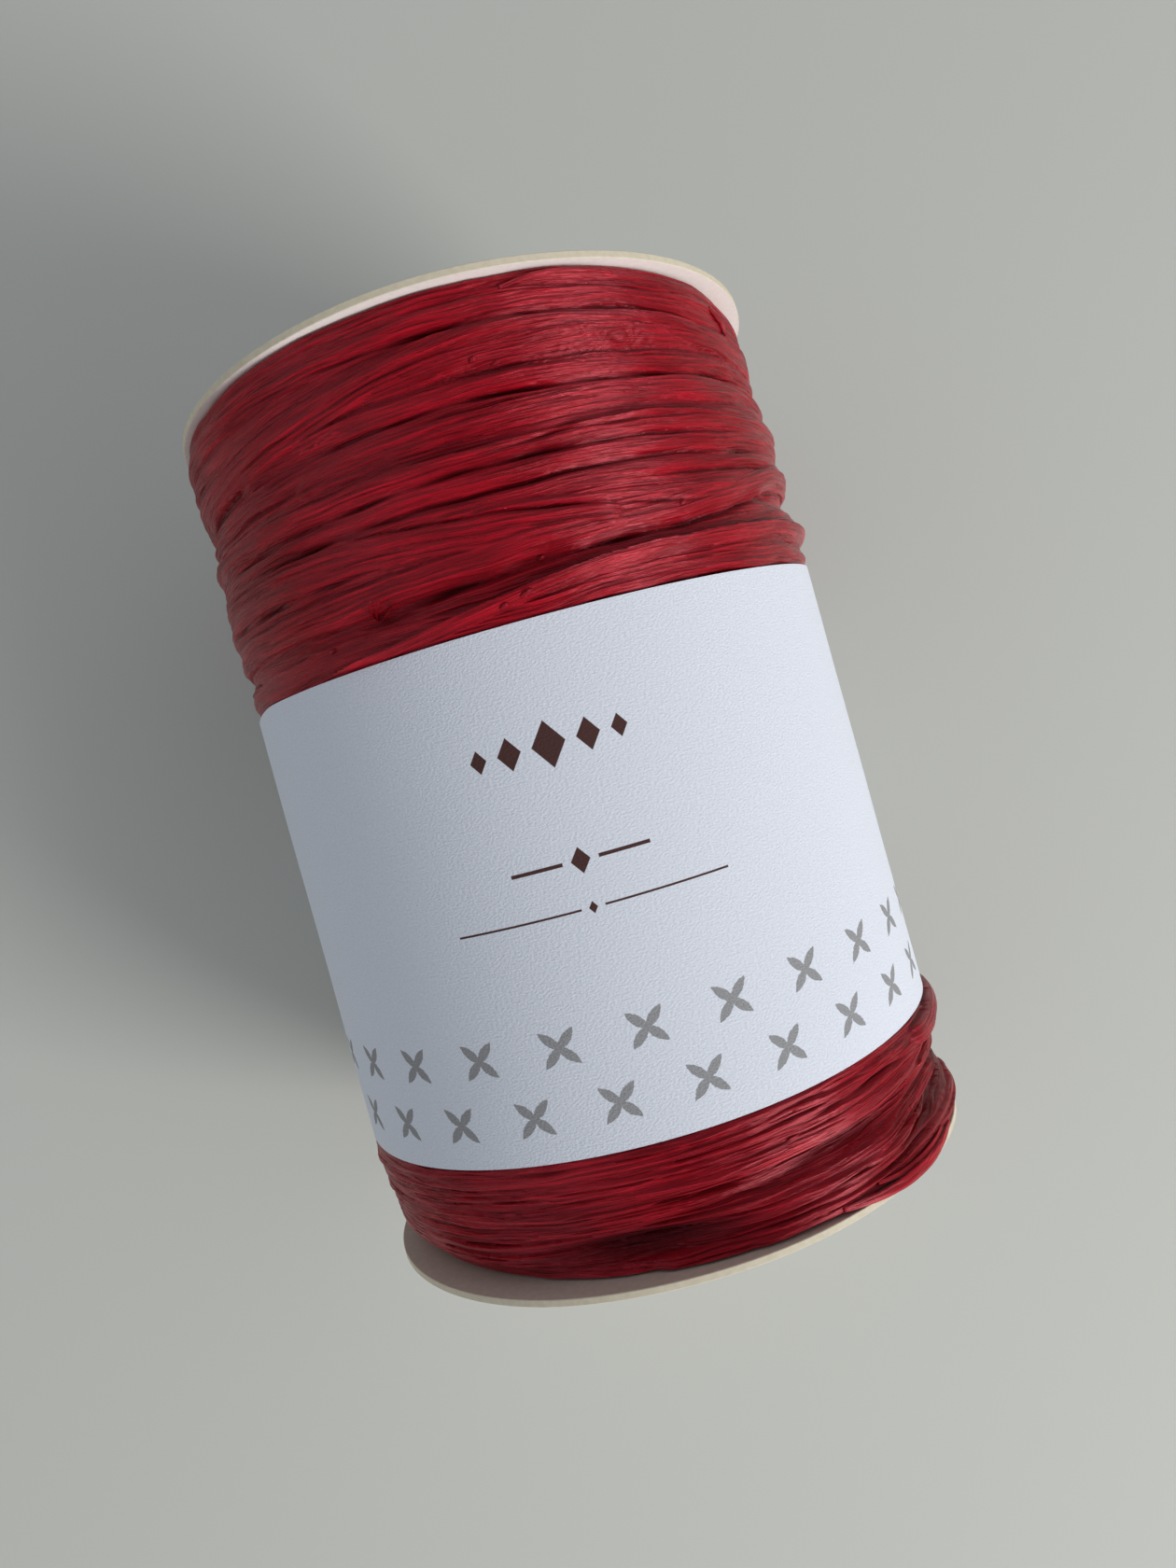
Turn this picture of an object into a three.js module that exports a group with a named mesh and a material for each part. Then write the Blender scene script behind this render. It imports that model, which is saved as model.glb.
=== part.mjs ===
// A spool of crinkled paper raffia, lying on its side: the wound raffia as one solid, a card disc on
// each end, and a paper label wrapped round the middle. Millimetres and degrees. Z is up, the spool
// lies along Y, angles run round it from +X through the crown at 90, and z = 0 is the surface below it.
import * as THREE from 'three';

// Driving dimensions
const DISC_RADIUS = 40;
const DISC_THICKNESS = 1;
const INNER_LENGTH = 109.5;
const PRESSED_FLAT = 0.4;
const GAP = 0.3;
const LABEL_RADIUS = 39.86;
const LABEL_THICKNESS = 1;
const LABEL_EDGES = { lower: -38.9, upper: 19.8 };

// The label was wrapped a little askew: how much further along each edge lies at the crown
const LABEL_SKEW = { lower: -1.1, upper: -2.3 };

// The wound form between its strands' grooves and crests, from the lower disc to the upper one
const SECTIONS = [
  { y: -54.5, radius: 38.6 },
  { y: -50, radius: 38.3 },
  { y: -44, radius: 38.8 },
  { y: -39, radius: 39.3 },
  { y: 20, radius: 39.3 },
  { y: 31, radius: 39.1 },
  { y: 39, radius: 38.8 },
  { y: 46, radius: 38.0 },
  { y: 54.5, radius: 38.0 },
];

// The turns of raffia: one thread that climbs a pitch each turn, its crests round and its grooves
// narrow. It wanders along the spool by a share of a turn, as a ribbon of uneven width does.
const STRAND = { pitch: 3.3, relief: 0.9, grooveWidth: 0.2, level: 0.66 };
const WANDERS = [
  { around: 2, along: 0.19, turns: 0.26, shift: 0.4 },
  { around: 3, along: -0.31, turns: 0.18, shift: 1.9 },
  { around: 5, along: 0.12, turns: 0.07, shift: 4.1 },
];

// Forms that break the even turns. Each is a soft bump centred at an angle and a y, with how far it
// spreads round in degrees and along in mm, its lean in mm along for each degree round, and its
// height. A hollow is negative.
const FORMS = [
  { name: 'full turns at the upper left', angle: 158, y: 50, round: 50, along: 5, lean: 0, height: 1.4 },
  { name: 'sunken turns, lower left', angle: 136, y: -54.5, round: 46, along: 4.2, lean: 0, height: -2.6 },
  { name: 'sunken turns, lower back', angle: 236, y: -54.5, round: 40, along: 3.6, lean: 0, height: -1.5 },
  { name: 'bundle on the lower rim', angle: 62, y: -53.2, round: 36, along: 1.9, lean: 0.01, height: 1.3 },
  { name: 'bundle diving to the rim', angle: 26, y: -52.6, round: 20, along: 1.6, lean: 0.02, height: 1.2 },
  { name: 'hollow over the bundles', angle: 42, y: -49.6, round: 34, along: 1.9, lean: -0.03, height: -1.7 },
  { name: 'slanting turns', angle: 36, y: -46.2, round: 38, along: 2.2, lean: -0.045, height: 0.7 },
  { name: 'tab below the label', angle: 14, y: -41.2, round: 8, along: 1.3, lean: 0, height: 1.3 },
  { name: 'fold above the label', angle: 90, y: 22.2, round: 17, along: 0.9, lean: -0.16, height: 0.5 },
  { name: 'crossing strand', angle: 42, y: 29.6, round: 20, along: 1.3, lean: -0.22, height: 0.55 },
  { name: 'long crossing strand', angle: 112, y: 46.6, round: 26, along: 1.5, lean: -0.09, height: 0.5 },
  { name: 'proud strand, left', angle: 172, y: 30.2, round: 34, along: 1.5, lean: 0, height: 1.0 },
  { name: 'proud strand, right', angle: 10, y: 25.2, round: 30, along: 1.6, lean: 0.02, height: 1.0 },
  { name: 'crossing strand behind', angle: 268, y: 36, round: 30, along: 1.6, lean: 0.12, height: 0.5 },
];

// No strand stands further out of the spool than this past the discs
const PROUD = 0.5;

// How finely the solids are divided
const WINDING_SIDES = 64;
const DISC_SIDES = 96;
const LABEL_SIDES = 72;
const ROW_STEP = { open: 0.82, covered: 8 };

// Worked out from the driving dimensions
const AXIS_HEIGHT = DISC_RADIUS - PRESSED_FLAT;
const WINDING_END = INNER_LENGTH / 2 - GAP;
const COVERED_RADIUS = LABEL_RADIUS - LABEL_THICKNESS - GAP;
const COVERED = { lower: LABEL_EDGES.lower - GAP, upper: LABEL_EDGES.upper + GAP };

function bandOf(y) {
  return y < COVERED.lower ? 'lower' : 'upper';
}

// How far a point is shifted along at the crown: all of the label's skew beside it, none at the discs
function skewAt(y) {
  if (y >= COVERED.lower && y <= COVERED.upper) {
    return THREE.MathUtils.mapLinear(y, COVERED.lower, COVERED.upper, LABEL_SKEW.lower, LABEL_SKEW.upper);
  }
  const band = bandOf(y);
  return LABEL_SKEW[band] * (WINDING_END - Math.abs(y)) / (WINDING_END - Math.abs(COVERED[band]));
}

function sectionRadius(y) {
  const next = Math.max(1, SECTIONS.findIndex((section) => section.y >= y));
  const [below, above] = [SECTIONS[next - 1], SECTIONS[next]];
  return THREE.MathUtils.mapLinear(y, below.y, above.y, below.radius, above.radius);
}

function strandRelief(angle, y) {
  const theta = THREE.MathUtils.degToRad(angle);
  const wandering = WANDERS.map((w) => w.turns * Math.sin(w.around * theta + w.along * y + w.shift));
  const turn = wandering.reduce((sum, part) => sum + part, y / STRAND.pitch + angle / 360);
  const crest = Math.hypot(Math.sin(Math.PI * turn), STRAND.grooveWidth);
  return STRAND.relief * (crest - STRAND.level);
}

function formHeight(form, angle, y) {
  const round = THREE.MathUtils.euclideanModulo(angle - form.angle + 180, 360) - 180;
  const along = y - form.y - form.lean * round;
  return form.height * Math.exp(-((round / form.round) ** 2) - (along / form.along) ** 2);
}

function woundRadius(angle, y) {
  const forms = FORMS.reduce((sum, form) => sum + formHeight(form, angle, y), 0);
  return Math.min(sectionRadius(y) + strandRelief(angle, y) + forms, DISC_RADIUS + PROUD);
}

// The angle round the spool of a point of a lathe, whose own axis is the spool's
function angleOf(point) {
  return THREE.MathUtils.radToDeg(Math.atan2(point.z, point.x));
}

// Turn a lathe's points onto the lying spool, after a function has moved each one, and press flat what
// would reach below the surface
function lay(geometry, move = (point) => point) {
  const positions = geometry.attributes.position;
  const point = new THREE.Vector3();
  for (let i = 0; i < positions.count; i += 1) {
    move(point.fromBufferAttribute(positions, i));
    positions.setXYZ(i, point.x, point.y, Math.max(point.z + AXIS_HEIGHT, 0));
  }
  geometry.deleteAttribute('normal');
  geometry.deleteAttribute('uv');
  return geometry;
}

function rowsBetween(from, to, step) {
  const count = Math.ceil((to - from) / step);
  return Array.from({ length: count + 1 }, (_, i) => from + (to - from) * i / count);
}

// The profile has a row at each y, with a step down to the covered radius at both edges of the label
function windingProfile() {
  const open = [
    ...rowsBetween(-WINDING_END, COVERED.lower, ROW_STEP.open),
    ...rowsBetween(COVERED.upper, WINDING_END, ROW_STEP.open),
  ];
  const covered = rowsBetween(COVERED.lower, COVERED.upper, ROW_STEP.covered);
  const profile = [
    ...open.filter((y) => y <= COVERED.lower).map((y) => new THREE.Vector2(DISC_RADIUS, y)),
    ...covered.map((y) => new THREE.Vector2(COVERED_RADIUS, y)),
    ...open.filter((y) => y >= COVERED.upper).map((y) => new THREE.Vector2(DISC_RADIUS, y)),
  ];
  return [new THREE.Vector2(0, -WINDING_END), ...profile, new THREE.Vector2(0, WINDING_END)];
}

function windingGeometry() {
  return lay(new THREE.LatheGeometry(windingProfile(), WINDING_SIDES), (point) => {
    const radius = Math.hypot(point.x, point.z);
    if (radius < 1) return;
    const angle = angleOf(point);
    const covered = radius < (COVERED_RADIUS + DISC_RADIUS) / 2;
    const scale = covered ? 1 : woundRadius(angle, point.y) / radius;
    point.y += skewAt(point.y) * point.z / radius;
    point.x *= scale;
    point.z *= scale;
  });
}

function discGeometry() {
  const half = DISC_THICKNESS / 2;
  const profile = [[0, -half], [DISC_RADIUS, -half], [DISC_RADIUS, half], [0, half]];
  return lay(new THREE.LatheGeometry(profile.map(([x, y]) => new THREE.Vector2(x, y)), DISC_SIDES));
}

// A closed band whose two edges are askew by their own amounts
function labelGeometry() {
  const [inner, outer] = [LABEL_RADIUS - LABEL_THICKNESS, LABEL_RADIUS];
  const { lower, upper } = LABEL_EDGES;
  const corners = [[inner, lower], [outer, lower], [outer, upper], [inner, upper], [inner, lower]];
  const profile = corners.map(([x, y]) => new THREE.Vector2(x, y));
  return lay(new THREE.LatheGeometry(profile, LABEL_SIDES), (point) => {
    const skew = point.y < 0 ? LABEL_SKEW.lower : LABEL_SKEW.upper;
    point.y += skew * point.z / LABEL_RADIUS;
  });
}

// Finishes
const raffia = new THREE.MeshStandardMaterial({ color: 0x941f27, roughness: 0.5, metalness: 0 });
const card = new THREE.MeshStandardMaterial({ color: 0xf3ece8, roughness: 0.75, metalness: 0 });
const paper = new THREE.MeshStandardMaterial({ color: 0xe4e7ee, roughness: 0.9, metalness: 0 });

function piece(name, geometry, material, y = 0) {
  const mesh = new THREE.Mesh(geometry, material);
  mesh.name = name;
  mesh.position.y = y;
  return mesh;
}

const discPlace = (INNER_LENGTH + DISC_THICKNESS) / 2;
const spool = new THREE.Group();
spool.add(
  piece('winding', windingGeometry(), raffia),
  piece('disc_upper', discGeometry(), card, discPlace),
  piece('disc_lower', discGeometry(), card, -discPlace),
  piece('label_band', labelGeometry(), paper),
);

export default spool;
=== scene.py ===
"""Looks of a spool of crinkled paper raffia that lies on its side.

The shapes are worked out in millimetres round the spool's axis and go into meshes in metres. Angles
are in degrees round the spool, from +X through the crown at 90.
"""
import math

import bpy
import numpy as np
from mathutils import Matrix, Vector


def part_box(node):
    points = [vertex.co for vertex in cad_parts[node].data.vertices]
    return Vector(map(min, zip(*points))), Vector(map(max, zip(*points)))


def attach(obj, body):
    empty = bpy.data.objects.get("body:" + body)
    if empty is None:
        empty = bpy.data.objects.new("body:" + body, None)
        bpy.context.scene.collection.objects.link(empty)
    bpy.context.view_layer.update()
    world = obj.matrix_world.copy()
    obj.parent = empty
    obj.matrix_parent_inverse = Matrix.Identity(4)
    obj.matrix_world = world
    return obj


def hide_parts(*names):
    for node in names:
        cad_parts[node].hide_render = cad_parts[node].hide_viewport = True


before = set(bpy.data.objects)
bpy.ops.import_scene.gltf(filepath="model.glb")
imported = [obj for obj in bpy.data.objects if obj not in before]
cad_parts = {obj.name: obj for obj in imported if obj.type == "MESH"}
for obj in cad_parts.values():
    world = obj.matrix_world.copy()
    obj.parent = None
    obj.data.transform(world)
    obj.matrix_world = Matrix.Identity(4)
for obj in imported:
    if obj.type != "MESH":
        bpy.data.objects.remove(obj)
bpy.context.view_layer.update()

MM = 0.001
TO_MM = 1000

# Sizes from the frame
disc_low, disc_high = (np.array(corner) * TO_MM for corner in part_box("disc_upper"))
label_low, label_high = (np.array(corner) * TO_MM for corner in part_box("label_band"))
DISC_RADIUS = (disc_high[0] - disc_low[0]) / 2
AXIS_HEIGHT = disc_high[2] - DISC_RADIUS
DISC_FACE = disc_low[1]
WINDING_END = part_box("winding")[1][1] * TO_MM
LABEL_RADIUS = (label_high[0] - label_low[0]) / 2
GIRTH = 2 * math.pi * DISC_RADIUS

# The label lies a little askew: each edge's place along the spool at the axis's level, and how much
# further along it is at the crown. The label stands off what it is wrapped round by its ease, laps over
# itself behind, and its upper edge dips at one place
LABEL_EDGES = {"lower": -38.9, "upper": 19.8}
LABEL_SKEW = {"lower": -1.1, "upper": -2.3}
LABEL_THICKNESS = 0.25
LABEL_EASE = 0.1
LABEL_LAP = {"start": 236, "end": 252}
UPPER_EDGE_DIP = {"angle": 168, "half": 22, "depth": -1}

# The card discs: how far their edges are rounded and their rims wave, and each one's piece, node and side
CARD = {"thickness": 0.85, "edge": 0.08, "wave": 0.22}
DISCS = (("card_upper", "disc_upper", 1), ("card_lower", "disc_lower", -1))

# The raffia beside the label: how far it reaches in under it, how far below the label's inside it is held,
# and how far it rises again beside it, over what length
TUCK = 1.6
HELD = {"gap": 0.12, "rise": 1.6, "over": 1.2}

# How proud of the discs a ribbon may lie, over what last height it is pressed closer, how much fuller the
# ribbons make the wound form, how deep the raffia's pieces go, and how finely they are divided
PROUD = 1.2
PRESSED = 1.2
FILL = 0.25
CORE_DEPTH = 7
ROW_STEP = 0.1
COLUMNS = 700
ZONES = {
    "raffia_upper": {"low": LABEL_EDGES["upper"] - TUCK, "high": WINDING_END, "rings": 3},
    "raffia_lower": {"low": -WINDING_END, "high": LABEL_EDGES["lower"] + TUCK, "rings": 2},
}

# The photograph's camera: its place in mm from the spool's middle, and its turn as an axis times degrees
FOCAL_PIXELS = 1093
PICTURE = {"width": 1260, "height": 1680}
SENSOR = 36
CAMERA_PLACE = (-2.52, -0.8, 148.47)
CAMERA_TURN = (-0.06, -1.8, -15.5)

# Room light: its strengths and colour, and the heights from 0 at the horizon to 1 overhead between which
# it changes
SKY = {"horizon": 0.27, "middle": 0.8, "zenith": 0.14, "colour": (0.8, 0.84, 0.88, 1)}
SKY_HEIGHTS = {"horizon": 0, "middle": 0.42, "upper": 0.58, "zenith": 0.96}

# A wide soft window and its brighter middle, in metres and watts. Both face the spool
WINDOWS = {
    "window": {"azimuth": -41.5, "size": (1.0, 0.8), "power": 1.5},
    "window_middle": {"azimuth": -43.0, "size": (0.46, 0.38), "power": 8.0},
}
WINDOW = {"elevation": 30.5, "distance": 1.1, "aim": (0, 0, 0.03), "colour": (1, 0.985, 0.96)}


# Noise

def lattice(ix, iy, seed):
    """A pseudo-random gradient angle for each lattice point. The products are meant to overflow."""
    with np.errstate(over="ignore"):
        h = ix.astype(np.uint32) * np.uint32(374761393) + iy.astype(np.uint32) * np.uint32(668265263)
        h = h + np.uint32(seed * 974711 + 12289)
        h = (h ^ (h >> np.uint32(13))) * np.uint32(1274126177)
        h = h ^ (h >> np.uint32(16))
    return h.astype(np.float64) / 2 ** 32 * 2 * math.pi


def fade(t):
    """From 0 to 1, level and straight at both ends."""
    return t ** 3 * (t * (6 * t - 15) + 10)


def noise(x, y, seed):
    """Smooth gradient noise, about -1 to 1."""
    x, y = np.broadcast_arrays(np.asarray(x, float), np.asarray(y, float))
    x0, y0 = np.floor(x), np.floor(y)
    fx, fy = x - x0, y - y0
    ix, iy = x0.astype(np.int64), y0.astype(np.int64)
    total = np.zeros_like(fx)
    for dx in (0, 1):
        for dy in (0, 1):
            angle = lattice(ix + dx, iy + dy, seed)
            ramp = np.cos(angle) * (fx - dx) + np.sin(angle) * (fy - dy)
            total += fade(fx if dx else 1 - fx) * fade(fy if dy else 1 - fy) * ramp
    return 1.5 * total


def soft_step(x):
    """From 0 to 1, level at both ends."""
    x = np.clip(x, 0, 1)
    return x * x * (3 - 2 * x)


def turned(angle, centre):
    """Degrees from centre to angle, the short way round."""
    return (angle - centre + 180) % 360 - 180


def skew_at(y):
    """How far along a point lies at the crown than on the axis level."""
    stops = [-WINDING_END, LABEL_EDGES["lower"], LABEL_EDGES["upper"], WINDING_END]
    return np.interp(y, stops, [0, LABEL_SKEW["lower"], LABEL_SKEW["upper"], 0])


def edge_dip(angle):
    """1 where the label's upper edge dips most, 0 away from it."""
    return soft_step(1 - np.abs(turned(angle, UPPER_EDGE_DIP["angle"])) / UPPER_EDGE_DIP["half"])


# The wound form, as in the frame's winding: places along the spool and the radius there

SECTIONS = np.array([
    (-54.5, 38.6), (-50, 38.3), (-44, 38.8), (-39, 39.3),
    (20, 39.3), (31, 39.1), (39, 38.8), (46, 38), (54.5, 38),
])

# Soft forms on it. Each spreads round in degrees and along in mm, and leans by so many mm along for each
# degree round. A hollow also gets painted shade, fully where it is as deep as SHADED_DEPTH
FORM_COLUMNS = ("angle", "y", "round", "along", "lean", "height")
HOLLOWS = {
    "above the rim bundle": (66, -47.2, 24, 1.1, -0.03, -1.8),
    "by the lower disc": (99, -51.2, 18, 2.3, 0.02, -3.2),
    "inside the bundle's end": (35, -50.5, 12, 1.2, -0.03, -2.2),
}
SHADED_DEPTH = 2.8
FORMS = {
    "full turns at the upper left": (158, 50, 50, 5, 0, 1.4),
    "sunken turns, lower left": (138, -54.5, 42, 3.6, 0, -2.2),
    "sunken turns, lower back": (236, -54.5, 40, 3.6, 0, -1.5),
    "bundle on the lower rim": (58, -50.7, 21, 1.9, -0.03, 1.9),
    "bundle diving to the rim": (22, -52.8, 18, 1.5, 0.02, 1.0),
    "slanting turns": (40, -44.2, 30, 1.8, -0.06, 0.7),
    "tab below the label": (15, -41.3, 11, 1.1, 0, 1.9),
    "notch below the tab": (8, -43.7, 16, 0.9, 0, -1.2),
    "proud strand, left": (172, 30.2, 34, 1.5, 0, 0.8),
    "proud strand, right": (10, 25.2, 30, 1.6, 0.02, 0.8),
}


def bump_of(form, angle, y):
    """How high a soft form stands at a place."""
    f = dict(zip(FORM_COLUMNS, form))
    round_off = turned(angle, f["angle"])
    along_off = y - f["y"] - f["lean"] * round_off
    return f["height"] * np.exp(-(round_off / f["round"]) ** 2 - (along_off / f["along"]) ** 2)


def wound_level(angle, y):
    """Radius of the wound form without its ribbons' relief."""
    level = np.interp(y, SECTIONS[:, 0], SECTIONS[:, 1])
    return level + sum(bump_of(form, angle, y) for form in (*FORMS.values(), *HOLLOWS.values()))


def sunk_share(angle, y):
    """How much painted shade the hollows give a place, 0 to 1."""
    return np.clip(sum(bump_of(form, angle, y) for form in HOLLOWS.values()) / -SHADED_DEPTH, 0, 1)


# Where neighbouring turns behind are drawn along the spool together: height is the shift in mm

GATHERS = {
    "behind, upper": (250, 34, 60, 7, 0, 2.4),
    "behind, lower": (262, -46, 50, 5, 0, 1.6),
    "far left": (200, 44, 22, 6, 0, -1.5),
    "far right": (338, 36, 22, 6, 0, 1.2),
}

# How the turns behind wander: waves round, change in radians a mm along, shift in mm and phase. The
# wandering fades out near a zone's ends
FLOW_WAVES = np.array([
    (2, 0.19, 0.7, 0.4), (3, -0.31, 0.5, 1.9), (5, 0.23, 0.28, 4.1), (7, -0.4, 0.16, 2.2),
])
FLOW_FADE = 3
FRONT = {"middle": 90, "half": 104, "fade": 16}


def front(angle):
    """1 where the turns are placed one by one, 0 behind, where they lie at random."""
    return soft_step((FRONT["half"] - np.abs(turned(angle, FRONT["middle"]))) / FRONT["fade"])


def drawn(angle, straight, low, high):
    """Where a turn that would lie straight at a place really lies, between low and high."""
    theta = np.radians(angle)
    shift = sum(mm * np.sin(n * theta + k * straight + phase) for n, k, mm, phase in FLOW_WAVES)
    shift = shift + sum(bump_of(gather, angle, straight) for gather in GATHERS.values())
    room = np.minimum(straight - low, high - straight)
    return straight + shift * soft_step(room / FLOW_FADE) * (1 - front(angle))


# Threads of ribbon. Each winds on at its pitch in mm a turn, and its level is how far its middle lies off
# the form. Its width, place and level vary by its spread, wander and lift

THREADS = {
    "first": {
        "pitch": 3.1, "width": 3.3, "spread": 0.5, "wander": 1.0, "level": -0.1, "lift": 0.5, "seed": 11,
    },
    "crossing": {
        "pitch": -8.6, "width": 3.6, "spread": 0.5, "wander": 1.2, "level": -0.15, "lift": 0.7, "seed": 23,
    },
    "under": {
        "pitch": 4.1, "width": 4.6, "spread": 0.3, "wander": 0.8, "level": -1.2, "lift": 0.25, "seed": 37,
    },
}

# How much deeper the threads lie in front, below the turns placed there, and the level below all ribbons
UNDER_FRONT = 0.9
FLOOR_LEVEL = -2.2

# A ribbon's section: how high it is domed for its width, how far it may tilt, and how far its edges turn
# down, from what share of half its width. A ribbon drawn together or spread bunches within limits
DOME = 0.11
TILT = 0.75
EDGE = {"drop": 0.22, "from": 0.88}
BUNCHED = {"least": 0.6, "most": 2.2}

# The pleats of a ribbon, coarse to fine: how wide one is, how far it runs, how much it wanders in its own
# widths, and how high it stands
PLEAT_COLUMNS = ("pitch", "along", "wander", "height")
PLEATS = [(2.1, 46, 0.9, 0.34), (0.9, 30, 1.1, 0.31), (0.46, 17, 1.2, 0.19)]

# How much higher the pleats stand below the label, and the slanting creases of crumpled ribbon
CRISPER_BELOW = 1.4
CRUMPLE = {"width": 0.95, "slant": 0.45, "height": 0.2}


def folded(phase):
    """Flat flanks between sharp crests and creases, -0.5 to 0.5, once up and down for each whole phase."""
    return 2 * np.abs(phase % 1 - 0.5) - 0.5


def pleats(along, across, seed, crumpled=0):
    """Pleats that run along the ribbon and join and part, and slanting creases where it is crumpled."""
    total = 0
    for number, pleat in enumerate(PLEATS):
        p = dict(zip(PLEAT_COLUMNS, pleat))
        key = seed + 100 * number
        wander = noise(along / p["along"], across / p["pitch"] / 2.5, key)
        strength = np.clip(0.6 + 1.1 * noise(along / 27, across / 3.3, key + 1), 0, 1.3)
        total = total + p["height"] * strength * folded(across / p["pitch"] + p["wander"] * wander)
    where = soft_step((noise(along / 13, across / 4, seed + 7) - 0.35 + 0.6 * crumpled) / 0.3)
    slanting = (across + CRUMPLE["slant"] * along) / CRUMPLE["width"]
    creases = folded(slanting + 1.3 * noise(along / 2.6, across / 1.4, seed + 8))
    return total + CRUMPLE["height"] * where * creases * (0.35 + 0.65 * crumpled)


def lay_ribbon(field, rows, along, middle, width, nominal, level, tilt, tint, seed, crumpled=0):
    """Lay a length of ribbon over what the field holds. Along to tint have a value for each column."""
    shown = width > 0
    if not shown.any():
        return
    low, high = (middle - width / 2)[shown].min(), (middle + width / 2)[shown].max()
    keep = np.flatnonzero((rows > low) & (rows < high))
    if not len(keep):
        return
    part = slice(keep[0], keep[-1] + 1)
    share = (rows[part, None] - middle) / np.maximum(width / 2, 1e-6)
    bunched = np.clip(nominal / np.maximum(width, 1e-6), BUNCHED["least"], BUNCHED["most"])
    across = share * nominal / 2 + 40 * seed
    top = level + tilt * share + DOME * nominal * bunched * (1 - share ** 2)
    top = top - EDGE["drop"] * soft_step((np.abs(share) - EDGE["from"]) / (1 - EDGE["from"]))
    crisp = CRISPER_BELOW if rows[0] < 0 else 1
    top = top + crisp * np.sqrt(bunched) * pleats(along + 0 * across, across, seed, crumpled)
    wins = (np.abs(share) < 1) & (top > field["height"][part])
    for key, value in (("height", top), ("along", along), ("across", across), ("tint", tint)):
        field[key][part] = np.where(wins, value, field[key][part])


def vary(turns, rate, seed, key):
    """Noise along a thread that changes about rate times a turn."""
    return noise(turns * rate, seed, seed + key)


def lay_thread(field, rows, angles, thread):
    """Lay every turn of a thread that reaches the rows."""
    seed, pitch, nominal = thread["seed"], thread["pitch"], thread["width"]
    reach = nominal + thread["wander"] + 1
    turns = sorted((end - seed) / pitch for end in (rows[0] - reach, rows[-1] + reach))
    for turn in range(math.floor(turns[0]) - 1, math.ceil(turns[1]) + 1):
        tau = turn + angles / 360
        wander = vary(tau, 3.1, seed, 0) + 0.4 * vary(tau, 8.3, seed, 1)
        spread = vary(tau, 2.7, seed, 2) + 0.5 * vary(tau, 7, seed, 6)
        lift = vary(tau, 3.7, seed, 3) + 0.4 * vary(tau, 9, seed, 7)
        middle = pitch * tau + seed + thread["wander"] * wander
        width = nominal * (1 + thread["spread"] * spread)
        level = thread["level"] + thread["lift"] * lift
        level = level - UNDER_FRONT * front(angles + 12 * vary(turn, 0.37, seed, 8))
        tilt = TILT * vary(tau, 2.9, seed, 4)
        tint = noise(tau * 1.7, seed + 0.5, seed + 5)
        lay_ribbon(field, rows, tau * GIRTH, middle, width, nominal, level, tilt, tint, seed)


# Turns placed one by one: width, level, tilt (how much higher the edge further along is), how crumpled,
# the first angle, and the middle's place along the spool there and at every 15 degrees less

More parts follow.
